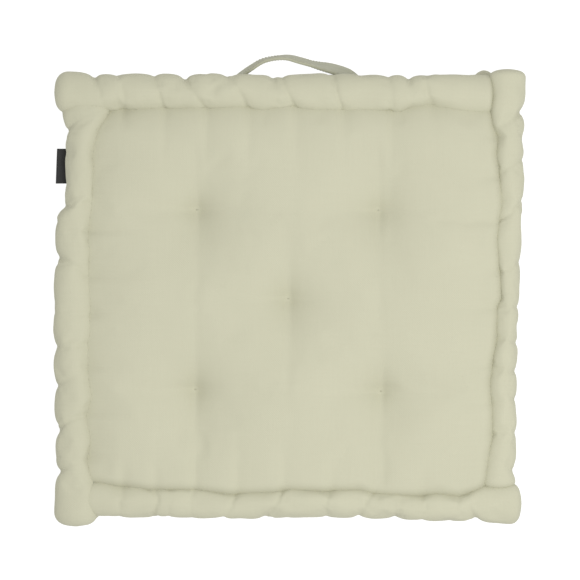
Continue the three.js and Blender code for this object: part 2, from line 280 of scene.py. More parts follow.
def apply_modifiers(piece):
    """Every modifier on the piece becomes part of its mesh."""
    bpy.ops.object.select_all(action="DESELECT")
    piece.select_set(True)
    bpy.context.view_layer.objects.active = piece
    for modifier in list(piece.modifiers):
        bpy.ops.object.modifier_apply(modifier=modifier.name)


def smooth_once(piece):
    """One round of subdivision, with smooth shading."""
    finish = piece.modifiers.new("smooth", "SUBSURF")
    finish.levels = finish.render_levels = 1
    apply_modifiers(piece)
    bpy.ops.object.shade_smooth()
    piece.select_set(False)


def turn_faces():
    """The faces of the open piece look the other way."""
    bpy.ops.object.mode_set(mode="EDIT")
    bpy.ops.mesh.select_all(action="SELECT")
    bpy.ops.mesh.flip_normals()
    bpy.ops.object.mode_set(mode="OBJECT")


def panel_plan(across, along):
    """Row-frame x and y for shares from -1 to 1 of the panel, its edges following the seams."""
    x = across * panel_half[0]
    y = along * panel_half[1]
    reach_x = np.where(across > 0, seam_out("right", y), seam_out("left", y)) + panel_tuck
    reach_y = np.where(along > 0, seam_out("back", x), seam_out("front", x)) + panel_tuck
    x += np.sign(across) * np.abs(across) ** 7 * (reach_x - panel_half[0])
    y += np.sign(along) * np.abs(along) ** 7 * (reach_y - panel_half[1])
    return x, y + middle.y


def panel(name, turn, level):
    """A panel of the cover, crowned between its seams and its ties; turn is -1 on the lower face."""
    columns = round(2 * panel_half[0] / panel_mesh)
    rows = round(2 * panel_half[1] / panel_mesh)
    bpy.ops.mesh.primitive_grid_add(x_subdivisions=columns, y_subdivisions=rows, size=2)
    piece = bpy.context.object
    piece.name = piece.data.name = name
    scale_weave(piece, 2 * panel_half[0], 2 * panel_half[1])
    flat = vertices_of(piece)
    x, y = panel_plan(flat[:, 0], flat[:, 1])
    drop = panel_height(x, y)
    move_vertices(piece, np.stack([x, y, level - turn * drop], axis=1))
    if turn < 0:
        turn_faces()
    rim = np.maximum(np.abs(flat[:, 0]), np.abs(flat[:, 1])) > 0.965
    tied = np.zeros(len(flat), bool)
    for tuft in tufts:
        tied |= np.hypot(x - tuft.x, y - tuft.y) < 0.0035
    inflate(piece, rim | tied, 0.9, 0.003, 0.0022)
    smooth_once(piece)
    return piece


def thicken(piece, thickness):
    """The cloth gets its thickness, inwards."""
    wall = piece.modifiers.new("wall", "SOLIDIFY")
    wall.thickness = thickness
    wall.offset = -1
    apply_modifiers(piece)
    piece.select_set(False)


def new_material(name):
    """A material with its shader and its node tree, ready for the pattern nodes."""
    material = bpy.data.materials.new(name)
    material.use_nodes = True
    nodes = material.node_tree.nodes
    return material, nodes, material.node_tree.links, nodes["Principled BSDF"]


def math_node(nodes, links, operation, first, second=None):
    """One step of arithmetic between two sockets or numbers."""
    node = nodes.new("ShaderNodeMath")
    node.operation = operation
    for socket, value in zip(node.inputs, (first, second)):
        if isinstance(value, (int, float)):
            socket.default_value = value
        elif value is not None:
            links.new(value, socket)
    return node.outputs[0]


def noise_node(nodes, links, coordinates, scale, detail=2.0, roughness=0.5):
    """Noise from 0 to 1 on the given coordinates."""
    node = nodes.new("ShaderNodeTexNoise")
    node.inputs["Scale"].default_value = scale
    node.inputs["Detail"].default_value = detail
    node.inputs["Roughness"].default_value = roughness
    links.new(coordinates, node.inputs["Vector"])
    return node.outputs["Fac"]


def thread_waves(nodes, links, socket, pitch):
    """A wave along the socket, half of it to each pitch."""
    return math_node(nodes, links, "SINE", math_node(nodes, links, "MULTIPLY", socket, math.pi / pitch))


def woven_cloth(name, light, dark, pitch, roughness, sheen, relief):
    """Matt plain weave: threads over and under at the given pitch, uneven in thickness and in shade."""
    material, nodes, links, shader = new_material(name)
    place = nodes.new("ShaderNodeTexCoord")
    split = nodes.new("ShaderNodeSeparateXYZ")
    links.new(place.outputs["UV"], split.inputs[0])
    warp = thread_waves(nodes, links, split.outputs["X"], pitch)
    weft = thread_waves(nodes, links, split.outputs["Y"], pitch)
    cross = math_node(nodes, links, "MULTIPLY", warp, weft)
    threads = []
    for stretch in ((1.0, 0.02, 1.0), (0.02, 1.0, 1.0)):
        along = nodes.new("ShaderNodeMapping")
        along.inputs["Scale"].default_value = stretch
        links.new(place.outputs["UV"], along.inputs["Vector"])
        threads.append(noise_node(nodes, links, along.outputs["Vector"], 1 / pitch, 1.0))
    slub = math_node(nodes, links, "ADD", threads[0], threads[1])
    patches = noise_node(nodes, links, place.outputs["Object"], 14.0, 3.0, 0.55)
    fuzz = noise_node(nodes, links, place.outputs["Object"], 900.0, 2.0, 0.6)
    shade = math_node(nodes, links, "MULTIPLY", slub, 0.5)
    shade = math_node(nodes, links, "ADD", shade, math_node(nodes, links, "MULTIPLY", cross, 0.10))
    shade = math_node(nodes, links, "MULTIPLY", math_node(nodes, links, "ADD", shade, patches), 0.5)
    blend = nodes.new("ShaderNodeMix")
    blend.data_type = "RGBA"
    links.new(shade, blend.inputs["Factor"])
    blend.inputs["A"].default_value = (*dark, 1)
    blend.inputs["B"].default_value = (*light, 1)
    links.new(blend.outputs["Result"], shader.inputs["Base Color"])
    height = math_node(nodes, links, "ADD", cross, math_node(nodes, links, "MULTIPLY", slub, 0.8))
    height = math_node(nodes, links, "ADD", height, math_node(nodes, links, "MULTIPLY", fuzz, 0.6))
    bump = nodes.new("ShaderNodeBump")
    bump.inputs["Strength"].default_value = 0.5
    bump.inputs["Distance"].default_value = relief
    links.new(height, bump.inputs["Height"])
    links.new(bump.outputs["Normal"], shader.inputs["Normal"])
    shader.inputs["Roughness"].default_value = roughness
    shader.inputs["Specular IOR Level"].default_value = 0.25
    shader.inputs["Sheen Weight"].default_value = sheen
    shader.inputs["Sheen Roughness"].default_value = 0.6
    return material


cotton = woven_cloth("sage_cotton", (0.495, 0.487, 0.366), (0.426, 0.419, 0.310), 0.0008, 0.92, 0.05, 0.00010)

top_panel = panel("top_panel_cloth", 1, panel_high.z)
thicken(top_panel, cloth_thickness)
top_panel.data.materials.append(cotton)
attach(top_panel, "cushion")
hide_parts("top_panel")


# The bottom panel: the same cloth and cut, tied down at the same five points, and
# flatter, because the cushion lies on it.
bottom_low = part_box("bottom_panel")[0]
bottom_panel = panel("bottom_panel_cloth", -1, bottom_low.z)
flattened = vertices_of(bottom_panel)
pressed_below = 0.0008
pressed = pressed_below + 0.25 * (flattened[:, 2] - pressed_below)
flattened[:, 2] = np.maximum(np.maximum(flattened[:, 2], pressed), 0.0)
move_vertices(bottom_panel, flattened)
thicken(bottom_panel, cloth_thickness)
bottom_panel.data.materials.append(cotton)
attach(bottom_panel, "cushion")
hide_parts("bottom_panel")


# The four side bands: strips of the same cloth between the two rings of rolls,
# gathered at every stitch and swelling a little between them.
band_mesh = 0.0034
outward = {
    "back": Vector((0, 1, 0)),
    "left": Vector((-1, 0, 0)),
    "front": Vector((0, -1, 0)),
    "right": Vector((1, 0, 0)),
}


def side_to_row(side, place, out, height):
    """Row-frame points from the place along a side, the distance outwards and the height."""
    place, out, height = np.broadcast_arrays(place, out, height)
    sign = outward[side].x + outward[side].y
    if side in ("back", "front"):
        return np.stack([place, sign * out + middle.y, height], axis=1)
    return np.stack([sign * out, place + middle.y, height], axis=1)


def side_range(side, low, high):
    """Where a node starts and ends along a side, and how far out it reaches, from the middle."""
    axis = 0 if side in ("back", "front") else 1
    shift = Vector((0, middle.y, 0))
    low, high = low - shift, high - shift
    return low[axis], high[axis], max(abs(low[1 - axis]), abs(high[1 - axis]))


def side_band(side):
    """One strip, with its gathers."""
    low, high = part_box(f"side_band_{side}")
    start, end, outer = side_range(side, low, high)
    start, end, tall = start - 0.0035, end + 0.0035, high.z - low.z + 0.012
    bpy.ops.mesh.primitive_grid_add(
        x_subdivisions=round((end - start) / band_mesh), y_subdivisions=round(tall / band_mesh), size=2
    )
    piece = bpy.context.object
    piece.name = piece.data.name = f"side_band_{side}_cloth"
    scale_weave(piece, end - start, tall)
    flat = vertices_of(piece)
    place = (start + end) / 2 + flat[:, 0] * (end - start) / 2
    height = (low.z + high.z) / 2 + flat[:, 1] * tall / 2
    out = outer - 0.0005 - 0.0035 * flat[:, 1] ** 2
    for number, stitch in enumerate(stitches[side]):
        lean = stitch.inner + 0.004 * math.sin(number * 2.1) * flat[:, 1]
        grip = 0.35 + 0.65 * flat[:, 1] ** 2
        out -= 0.0016 * grip * soft_ridge(place - lean, 0.0045)
    move_vertices(piece, side_to_row(side, place, out, height))
    if piece.data.polygons[0].normal.dot(outward[side]) < 0:
        turn_faces()
    sewn = (np.abs(flat[:, 1]) > 0.85) | (np.abs(flat[:, 0]) > 0.99)
    inflate(piece, sewn, 0.8, 0.02, 0.0012)
    points = vertices_of(piece)
    axis = 1 if side in ("back", "front") else 0
    sign = outward[side][axis]
    shift = middle.y if axis == 1 else 0.0
    points[:, axis] = shift + sign * np.minimum(sign * (points[:, axis] - shift), outer - 0.0001)
    move_vertices(piece, points)
    smooth_once(piece)
    thicken(piece, cloth_thickness)
    piece.data.materials.append(cotton)
    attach(piece, "cushion")
    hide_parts(f"side_band_{side}")
    return piece


for side in stitches:
    side_band(side)


# The filling: a block of cotton and polyester fibre that packs the cover out and
# follows the panels, dented where the ties pull it down.
def loose_fibre(name, light, dark):
    """Matted cotton and polyester fibre: fine tangled strands over soft lumps."""
    material, nodes, links, shader = new_material(name)
    place = nodes.new("ShaderNodeTexCoord")
    clumps = noise_node(nodes, links, place.outputs["Object"], 60.0, 4.0, 0.6)
    strands = noise_node(nodes, links, place.outputs["Object"], 1400.0, 3.0, 0.7)
    both = math_node(nodes, links, "ADD", clumps, math_node(nodes, links, "MULTIPLY", strands, 0.4))
    blend = nodes.new("ShaderNodeMix")
    blend.data_type = "RGBA"
    links.new(clumps, blend.inputs["Factor"])
    blend.inputs["A"].default_value = (*dark, 1)
    blend.inputs["B"].default_value = (*light, 1)
    links.new(blend.outputs["Result"], shader.inputs["Base Color"])
    bump = nodes.new("ShaderNodeBump")
    bump.inputs["Strength"].default_value = 0.6
    bump.inputs["Distance"].default_value = 0.0006
    links.new(both, bump.inputs["Height"])
    links.new(bump.outputs["Normal"], shader.inputs["Normal"])
    shader.inputs["Roughness"].default_value = 0.95
    shader.inputs["Sheen Weight"].default_value = 0.3
    return material


fibre = loose_fibre("white_fibre", (0.86, 0.84, 0.78), (0.70, 0.68, 0.62))
filling_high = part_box("filling")[1]
fibre_gap = 0.0036
bpy.ops.mesh.primitive_cube_add(size=2)
filling = bpy.context.object
filling.name = filling.data.name = "filling_fibre"
bpy.ops.object.mode_set(mode="EDIT")
bpy.ops.mesh.select_all(action="SELECT")
bpy.ops.mesh.subdivide(number_cuts=47)
bpy.ops.object.mode_set(mode="OBJECT")
cube = vertices_of(filling)
bow = 0.050 * cube[:, 2] ** 4
filling_x = cube[:, 0] * (filling_high.x - 0.001) * (1 - bow)
filling_y = middle.y + cube[:, 1] * (panel_half[1] + 0.004) * (1 - bow)
ceiling = panel_high.z - panel_height(filling_x, filling_y) - cloth_thickness - fibre_gap
ground = bottom_low.z + 0.3 * panel_height(filling_x, filling_y) + cloth_thickness + fibre_gap
filling_z = ground + (ceiling - ground) * (cube[:, 2] + 1) / 2
filling_z += lumps(filling_x, filling_y, filling_z, 0.014, 0.0012)
move_vertices(filling, np.stack([filling_x, filling_y, filling_z], axis=1))
bpy.ops.object.shade_smooth()
filling.select_set(False)
filling.data.materials.append(fibre)
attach(filling, "cushion")
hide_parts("filling")


# The five ties: a loop of waxed cotton twine through both panels, pulled tight so
# that it sinks into the cloth, and knotted off underneath.
twine_thickness = 0.0011
twine_bite = 0.0017


def twisted_thread(name, light, dark, pitch):
    """Matt cotton thread: fine plies turning round it, uneven in shade."""
    material, nodes, links, shader = new_material(name)
    place = nodes.new("ShaderNodeTexCoord")
    wave = nodes.new("ShaderNodeTexWave")
    wave.bands_direction = "DIAGONAL"
    wave.inputs["Scale"].default_value = 1 / pitch
    wave.inputs["Distortion"].default_value = 1.5
    links.new(place.outputs["Object"], wave.inputs["Vector"])
    blend = nodes.new("ShaderNodeMix")
    blend.data_type = "RGBA"
    links.new(wave.outputs["Fac"], blend.inputs["Factor"])
    blend.inputs["A"].default_value = (*dark, 1)
    blend.inputs["B"].default_value = (*light, 1)
    links.new(blend.outputs["Result"], shader.inputs["Base Color"])
    bump = nodes.new("ShaderNodeBump")
    bump.inputs["Strength"].default_value = 0.5
    bump.inputs["Distance"].default_value = 0.0001
    links.new(wave.outputs["Fac"], bump.inputs["Height"])
    links.new(bump.outputs["Normal"], shader.inputs["Normal"])
    shader.inputs["Roughness"].default_value = 0.85
    shader.inputs["Sheen Weight"].default_value = 0.1
    return material


thread = twisted_thread("sage_thread", (0.45, 0.445, 0.33), (0.36, 0.355, 0.26), 0.0009)


def sewn_thread(name, routes, thickness, closed=False):
    """Round thread along each of the routes, all as one mesh."""
    line = bpy.data.curves.new(name, "CURVE")
    line.dimensions = "3D"
    line.bevel_depth = thickness / 2
    line.bevel_resolution = 2
    line.use_fill_caps = not closed
    for route in routes:
        spline = line.splines.new("NURBS")
        spline.points.add(len(route) - 1)
        for point, spot in zip(spline.points, route):
            point.co = (*spot, 1)
        spline.order_u = 3
        spline.use_endpoint_u = not closed
        spline.use_cyclic_u = closed
        spline.resolution_u = 3
    piece = bpy.data.objects.new(name, line)
    bpy.context.collection.objects.link(piece)
    bpy.ops.object.select_all(action="DESELECT")
    piece.select_set(True)
    bpy.context.view_layer.objects.active = piece
    bpy.ops.object.convert(target="MESH")
    bpy.ops.object.shade_smooth()
    piece = bpy.context.object
    piece.data.name = name
    piece.select_set(False)
    piece.data.materials.append(thread)
    return piece


def surface_under(piece, x, y, height=0.2):
    """The height where a line straight down from above first meets the piece."""
    tree = BVHTree.FromObject(piece, bpy.context.evaluated_depsgraph_get())
    return tree.ray_cast(Vector((x, y, height)), Vector((0, 0, -1)))[0].z


for place, tuft in zip(tuft_places, tufts):
    tie_x, tie_y = tuft.x, tuft.y
    over = surface_under(top_panel, tie_x, tie_y) + 0.1 * twine_thickness
    under = 0.0042
    loop = [
        (tie_x - twine_bite, tie_y, over - 0.0022),
        (tie_x - 0.7 * twine_bite, tie_y, over),
        (tie_x + 0.7 * twine_bite, tie_y, over),
        (tie_x + twine_bite, tie_y, over - 0.0022),
        (tie_x + 0.0006, tie_y, over - 0.012),
        (tie_x + 0.0006, tie_y, under + 0.012),
        (tie_x + twine_bite, tie_y, under + 0.0022),
        (tie_x + 0.7 * twine_bite, tie_y, under),
        (tie_x - 0.7 * twine_bite, tie_y, under),
        (tie_x - twine_bite, tie_y, under + 0.0022),
        (tie_x - 0.0006, tie_y, under + 0.012),
        (tie_x - 0.0006, tie_y, over - 0.012),
    ]
    tie = sewn_thread(f"tuft_tie_{place}_twine", [loop], twine_thickness, closed=True)
    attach(tie, "cushion")
    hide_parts(f"tuft_tie_{place}")


# The rolls: eight sausages of cloth, four round the upper edge and four round the
# lower one, each stuffed with wadding and pinched in at every hand stitch. One end
# of each is a rounded ear at the corner, the other butts against the next roll.
roll_rings = 168
roll_spokes = 36
butt_press = {"back": 0.0045, "left": 0.0140, "front": 0.0110, "right": 0.0030}
ear_cap = {"back": 0.0120, "left": 0.0120, "front": 0.0090, "right": 0.0070}
butt_cap = {"back": 0.0055, "left": 0.0240, "front": 0.0180, "right": 0.0080}
ear_reach = {"back": -0.0022, "left": 0.0028, "front": -0.0034, "right": 0.0008}
roll_sway = {
    "back": [(-0.20, 0.001), (0.00, 0.0), (0.10, 0.0), (0.18, -0.001)],
    "left": [
        (-0.20, 0.0), (-0.15, 0.0), (-0.02, 0.002), (0.07, 0.0), (0.086, -0.0075),
        (0.130, -0.0078), (0.155, -0.0070), (0.170, -0.0040),
    ],
    "front": [(-0.18, -0.003), (-0.05, 0.0), (0.0, -0.001), (0.05, -0.001), (0.10, 0.001), (0.20, 0.003)],
    "right": [(-0.18, -0.005), (-0.05, -0.003), (0.04, 0.0), (0.12, 0.003), (0.19, 0.003)],
}


def roll_profile(fraction, start, end, start_cap, end_cap):
    """Place along the roll and share of its full thickness, from one closed end to the other."""
    arcs = (math.pi / 2 * start_cap, end - start - start_cap - end_cap, math.pi / 2 * end_cap)
    run = fraction * sum(arcs)
    first = np.clip(run / arcs[0], 0, 1) * math.pi / 2
    last = np.clip((run - arcs[0] - arcs[1]) / arcs[2], 0, 1) * math.pi / 2
    between = np.clip(run - arcs[0], 0, arcs[1])
    place = start + start_cap * (1 - np.cos(first)) + between + end_cap * np.sin(last)
    return place, np.minimum(np.sin(first), np.cos(last)) ** 0.7


def crease_line(stitch, number, out_share):
    """Where along the side a stitch's crease runs, from the roll's outer edge to its seam, a little bowed."""
    inwards = (1 - out_share) / 2
    bow = 0.0025 * math.sin(1.7 * number) * np.sin(inwards * math.pi)
    return stitch.outer + (stitch.inner - stitch.outer) * inwards + bow


def seamwards(stitch, out_share):
    """How much of a crease is left, from 1 at the seam outwards; the firmest run all the way."""
    through = 0.60 if stitch.crease > 0.0016 else 0.15
    return through + (1 - through) * ((1 - out_share) / 2) ** 1.2


def pull_threads_tight(piece, side, up, centre_height):
    """The fine sharp line of each stitch, pressed into the finished cloth."""
    points = vertices_of(piece)
    normals = np.zeros(len(points) * 3)
    piece.data.vertices.foreach_get("normal", normals)
    axis = 0 if side in ("back", "front") else 1
    middles = (0.0, middle.y)
    place = points[:, axis] - middles[axis]
    out = np.abs(points[:, 1 - axis] - middles[1 - axis])
    inner_line = seam_out(side, place)
    outer_line = side_range(side, *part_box(f"roll_cover_top_{side}"))[2]
    outer_line = outer_line + np.interp(place, *zip(*roll_sway[side]))
    out_share = np.clip((out - inner_line) / (outer_line - inner_line) * 2 - 1, -1, 1)
    depth = np.zeros(len(points))
    for number, stitch in enumerate(stitches[side]):
        near = place - crease_line(stitch, number, out_share)
        firm = 0.20 * stitch.crease * seamwards(stitch, out_share)
        firm = firm + 0.16 * stitch.dip * np.clip(out_share, 0, 1)
        depth += firm * soft_ridge(near, 0.0011, sharpness=0.0003)
    depth *= np.clip((points[:, 2] - centre_height) * up / 0.004 + 1, 0, 1)
    move_vertices(piece, points - depth[:, None] * normals.reshape(-1, 3))


# The lower back roll runs on at its right end and swells out there, past the ear of the
# roll above it, while the lower rolls sit a little further in than the upper ones.
lip_reach, lip_bulge, lip_place, lip_width = 0.0060, 0.0095, 0.176, 0.012
lower_inset = 0.0015


def roll(side, level):
    """One roll of the cover with its pinches, and its wadding inside."""
    node = f"roll_cover_{level}_{side}"
    low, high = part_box(node)
    start, end, outer = side_range(side, low, high)
    ear_first = side in ("back", "left")
    caps = (ear_cap[side], butt_cap[side]) if ear_first else (butt_cap[side], ear_cap[side])
    if ear_first:
        start, end = start - ear_reach[side], end + butt_press[side]
        if level == "bottom" and side == "back":
            end += lip_reach
    else:
        start, end = start - butt_press[side], end + ear_reach[side]
    bpy.ops.mesh.primitive_uv_sphere_add(segments=roll_spokes, ring_count=roll_rings, radius=1)
    piece = bpy.context.object
    piece.name = piece.data.name = f"{node}_cloth"
    ball = vertices_of(piece)
    fraction = np.arccos(np.clip(ball[:, 2], -1, 1)) / math.pi
    angle = np.arctan2(ball[:, 1], ball[:, 0])
    place, share = roll_profile(fraction, start, end, *caps)
    tall = (high.z - low.z) / 2
    up = 1 if level == "top" else -1
    out_share, up_share = np.cos(angle), np.sin(angle)
    pinch = np.zeros_like(place)
    sewn = np.zeros(len(place), bool)
    for number, stitch in enumerate(stitches[side]):
        near = place - crease_line(stitch, number, out_share)
        outer_grip = np.clip(out_share, 0, 1) ** 1.1 * (0.45 + 0.55 * np.clip(up_share + 0.9, 0, 1))
        fine = soft_ridge(near, 0.0018)
        dent = stitch.dip * outer_grip * (0.50 * np.exp(-((near / 0.008) ** 2)) + 0.70 * fine)
        groove = 0.30 * np.exp(-((near / 0.007) ** 2)) + 0.65 * fine
        groove = groove * stitch.crease * seamwards(stitch, out_share)
        pinch += dent + groove
        sewn |= (np.abs(near) < 0.0016) & (dent + groove > 0.0016)
    ear = end if not ear_first else start
    knob = 0.0012 * np.exp(-(((place - ear) / 0.030) ** 2))
    outer_line = outer + np.interp(place, *zip(*roll_sway[side]))
    if level == "bottom":
        bulge = lip_bulge if side == "back" else 0.0
        outer_line += bulge * np.exp(-(((place - lip_place) / lip_width) ** 2)) - lower_inset
    inner_line = seam_out(side, place)
    wide = (outer_line - inner_line) / 2
    uneven = lumps(place, out_share * 0.014 + ord(side[0]), up_share * 0.014, 0.018, 0.0009)
    grow = 0.0008 + knob - pinch + uneven
    out = (outer_line + inner_line) / 2 + (wide + grow) * share * out_share
    height = (low.z + high.z) / 2 + up * (tall - 0.0010 + grow) * share * up_share
    move_vertices(piece, side_to_row(side, place, out, height))
    scale_weave(piece, 2 * math.pi * tall, end - start)
    bpy.ops.object.mode_set(mode="EDIT")
    bpy.ops.mesh.select_all(action="SELECT")
    bpy.ops.mesh.normals_make_consistent(inside=False)
    bpy.ops.object.mode_set(mode="OBJECT")
    sewn |= (up_share < -0.55) & (out_share < 0.3)
    inflate(piece, sewn, 1.6, 0.020, 0.0020)
    points = vertices_of(piece)
    points[:, 2] = np.clip(points[:, 2], 0.0, cad_box[1][2] + 0.0015)
    move_vertices(piece, points)

    wadding = piece.copy()
    wadding.data = piece.data.copy()
    bpy.context.collection.objects.link(wadding)
    wadding.name = wadding.data.name = f"roll_wadding_{level}_{side}_fibre"
    normals = np.zeros(len(points) * 3)
    wadding.data.vertices.foreach_get("normal", normals)
    move_vertices(wadding, points - 0.0016 * normals.reshape(-1, 3))
    smooth_once(piece)
    pull_threads_tight(piece, side, up, (low.z + high.z) / 2)
    bpy.ops.object.select_all(action="DESELECT")
    wadding.select_set(True)
    bpy.context.view_layer.objects.active = wadding
    bpy.ops.object.shade_smooth()
    wadding.select_set(False)
    piece.data.materials.append(cotton)
    wadding.data.materials.append(fibre)
    inside = f"roll_wadding_{level}_{side}"
    for part, part_slot, stands_for in ((piece, "cloth", node), (wadding, "fibre", inside)):
        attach(part, "cushion")
        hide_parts(stands_for)
    return piece


rolls = [roll(side, level) for level in ("bottom", "top") for side in stitches]


# The seams between the panels and the rolls: thread in short stitches, sunk in the
# groove, with a longer hand stitch through the band at every pinch of the rolls.
thread_thickness = 0.0007
for level, sheet in (("top", top_panel), ("bottom", bottom_panel)):
    up = 1 if level == "top" else -1
    trees = [
        BVHTree.FromObject(piece, bpy.context.evaluated_depsgraph_get())
        for piece in (sheet, *(r for r in rolls if f"_{level}_" in r.name))
    ]
    level_low, level_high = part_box(f"roll_cover_{level}_back")
    routes = []
    for side in stitches:
        end = panel_half[0] if side in ("back", "front") else panel_half[1]
        start_out = (panel_half[1] if side in ("back", "front") else panel_half[0]) - 0.012
        for place in np.arange(0.006 - end, end - 0.006, 0.0065):
            route = []
            for step in (0.0, 0.0016, 0.0032, 0.0048):
                tried = []
                for out in np.arange(start_out, start_out + 0.014, 0.0010):
                    spot = side_to_row(side, [place + step], out, 0.04 + 0.1 * up)[0]
                    hits = [tree.ray_cast(Vector(spot), Vector((0, 0, -up)))[0] for tree in trees]
                    tried += sorted((hit for hit in hits if hit), key=lambda hit: -hit.z * up)[:1]
                groove = min(tried, key=lambda hit: hit.z * up)
                route.append(groove - Vector((0, 0, 0.0002 * up)))
            route[0].z -= 0.0010 * up
            route[-1].z -= 0.0010 * up
            routes.append(route)
        band_out = side_range(side, *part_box(f"side_band_{side}"))[2]
        seam = level_low.z if up > 0 else level_high.z
        for stitch in stitches[side]:
            if stitch.dip + stitch.crease > 0.0025 and abs(stitch.inner) < 0.165:
                foot = side_to_row(
                    side,
                    np.array([stitch.inner, stitch.inner, stitch.inner + 0.0012, stitch.inner + 0.0018]),
                    np.array([band_out - 0.004, band_out + 0.0006, band_out + 0.0012, band_out - 0.001]),
                    seam - up * np.array([0.006, 0.0045, 0.0006, -0.002]),
                )
                routes.append([Vector(spot) for spot in foot])
    seam_thread = sewn_thread(f"seam_thread_{level}_stitches", routes, thread_thickness)
    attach(seam_thread, "cushion")
    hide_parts(f"seam_thread_{level}")


# The carry strap: one length of the same cotton, folded double and pressed, sewn
# flat to the back band at both ends and standing out between them in an arch whose
# upper edge leans inwards, most of all towards its right foot. Its cotton is painted
# darker than the panels' cotton, as painted shade for the cushion's shadow it stands in.
left_low, left_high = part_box("handle_end_left")
right_low, right_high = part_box("handle_end_right")
strap_wide = left_high.z - left_low.z
strap_thick = 0.0025
strap_back = (left_low.y + left_high.y) / 2
strap_reach = 0.0300
arch = [
    (0.00, 0.00), (0.04, 0.13), (0.10, 0.37), (0.20, 0.70), (0.29, 0.92), (0.42, 1.00),
    (0.52, 0.92), (0.63, 0.78), (0.74, 0.66), (0.84, 0.50), (0.90, 0.33), (0.96, 0.12), (1.00, 0.00),
]
span = right_low.x - left_high.x
knots = [Vector((left_low.x, strap_back, 0)), Vector((left_low.x / 2 + left_high.x / 2, strap_back, 0))]
knots += [Vector((left_high.x + share * span, strap_back + rise * strap_reach, 0)) for share, rise in arch]
knots += [Vector((right_low.x / 2 + right_high.x / 2, strap_back, 0)), Vector((right_high.x, strap_back, 0))]


def smooth_route(points, count):
    """Evenly spaced points on a smooth line through the given ones, with its directions."""
    fine = []
    for index in range(len(points) - 1):
        before = points[max(index - 1, 0)]
        after = points[min(index + 2, len(points) - 1)]
        a, b = points[index], points[index + 1]
        for t in np.arange(0, 1, 0.05):
            fine.append(
                0.5 * (2 * a + (b - before) * t + (2 * before - 5 * a + 4 * b - after) * t**2
                       + (3 * a - before - 3 * b + after) * t**3)
            )
    fine.append(points[-1])
    fine = np.array(fine)
    run = np.concatenate([[0], np.cumsum(np.linalg.norm(np.diff(fine, axis=0), axis=1))])
    even = np.linspace(0, run[-1], count)
    line = np.stack([np.interp(even, run, fine[:, k]) for k in range(3)], axis=1)
    way = np.gradient(line, axis=0)
    return line, way / np.linalg.norm(way, axis=1, keepdims=True), run[-1]


strap_steps = 150
strap_line, strap_way, strap_length = smooth_route(knots, strap_steps + 1)
strap_share = np.clip((strap_line[:, 0] - left_high.x) / span, 0, 1)
# How far the strap's upper edge leans, in degrees, at shares of its arch.
lean_at = [(0, 0), (0.1, -12), (0.4, -10), (0.6, -15), (0.7, -24), (0.84, -27), (0.93, -20), (1, 0)]
strap_lean = np.radians(np.interp(strap_share, *zip(*lean_at)))


def on_strap(step, across, out=0.0):
    """A point of the strap at a step of its line: its place across, and how far outside the middle."""
    side_way = np.stack([-strap_way[step, 1], strap_way[step, 0], 0 * strap_way[step, 0]], axis=-1)
    lean = strap_lean[step]
    rise = across * np.cos(lean) - out * np.sin(lean)
    away = across * np.sin(lean) + out * np.cos(lean)
    point = strap_line[step] + side_way * away[..., None]
    point[..., 2] = 0.040 + rise
    return point


bpy.ops.mesh.primitive_grid_add(x_subdivisions=strap_steps, y_subdivisions=14, size=2)
strap = bpy.context.object
strap.name = strap.data.name = "carry_strap"
scale_weave(strap, strap_length, strap_wide)
flat = vertices_of(strap)
step = np.rint((flat[:, 0] + 1) / 2 * strap_steps).astype(int)
across = flat[:, 1] * strap_wide / 2
free = np.sin(strap_share[step] * math.pi)
ripple = 0.0005 * free * np.sin(strap_share[step] * 19 + flat[:, 1] * 1.3)
ripple -= 0.0007 * free * soft_ridge(across + 0.001, 0.0016)
move_vertices(strap, on_strap(step, across, ripple))
folded = strap.modifiers.new("folded", "SOLIDIFY")
folded.thickness = strap_thick
folded.offset = 0
edges = strap.modifiers.new("edges", "BEVEL")
edges.width = 0.0012
edges.segments = 4
edges.limit_method = "ANGLE"
edges.angle_limit = math.radians(60)
apply_modifiers(strap)
bpy.ops.object.shade_smooth()
strap.select_set(False)
# The strap's colours are the panel cotton painted darker: painted shade for the shadow of the cushion that
# the strap stands in.
strap_shaded_light, strap_shaded_dark = (0.41, 0.41, 0.305), (0.35, 0.35, 0.26)
strap_cotton_painted_shade = woven_cloth("strap_cotton_painted_shade", strap_shaded_light, strap_shaded_dark, 0.0007, 0.9, 0.12, 0.00012)
strap.data.materials.append(strap_cotton_painted_shade)
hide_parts("handle_strap", "handle_end_left", "handle_end_right")

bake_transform(strap)

# Two rows of machine stitches hold the strap's folded edges together all along.
edge_routes = []
for row in (-1, 1):
    for face in (-1, 1):
        for first in range(1, strap_steps - 2, 2):
            steps = np.array([first, first, first + 1, first + 1])
            depth = face * (strap_thick / 2 + np.array([-0.0003, 0.00005, 0.00005, -0.0003]))
            edge_routes.append(on_strap(steps, np.full(4, row * (strap_wide / 2 - 0.0019)), depth))
edge_stitches = sewn_thread("strap_edge_stitches", edge_routes, 0.00045)
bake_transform(edge_stitches)

# Each end is sewn to the band with a square of stitches crossed from corner to corner.
for end_name in ("left", "right"):
    stitch_low, stitch_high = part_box(f"handle_stitch_{end_name}")
    corners = [
        Vector((x, 0, z))
        for x, z in (
            (stitch_low.x, stitch_low.z), (stitch_high.x, stitch_low.z),
            (stitch_high.x, stitch_high.z), (stitch_low.x, stitch_high.z),
        )
    ]
    box_routes = []
    for a, b in ((0, 1), (1, 2), (2, 3), (3, 0), (0, 2), (1, 3)):
        run = corners[b] - corners[a]
        count = round(run.length / 0.0031)
        for number in range(count):
            route = []
            for share, sink in ((0.10, 0.0006), (0.20, 0.0), (0.80, 0.0), (0.90, 0.0006)):
                spot = corners[a] + run * ((number + share) / count)
                spot.y = strap_back + strap_thick / 2 + 0.0001 - sink
                route.append(spot)
            box_routes.append(route)
    box_stitches = sewn_thread(f"handle_stitch_{end_name}_box", box_routes, 0.0005)
    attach(box_stitches, "cushion")
    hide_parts(f"handle_stitch_{end_name}")


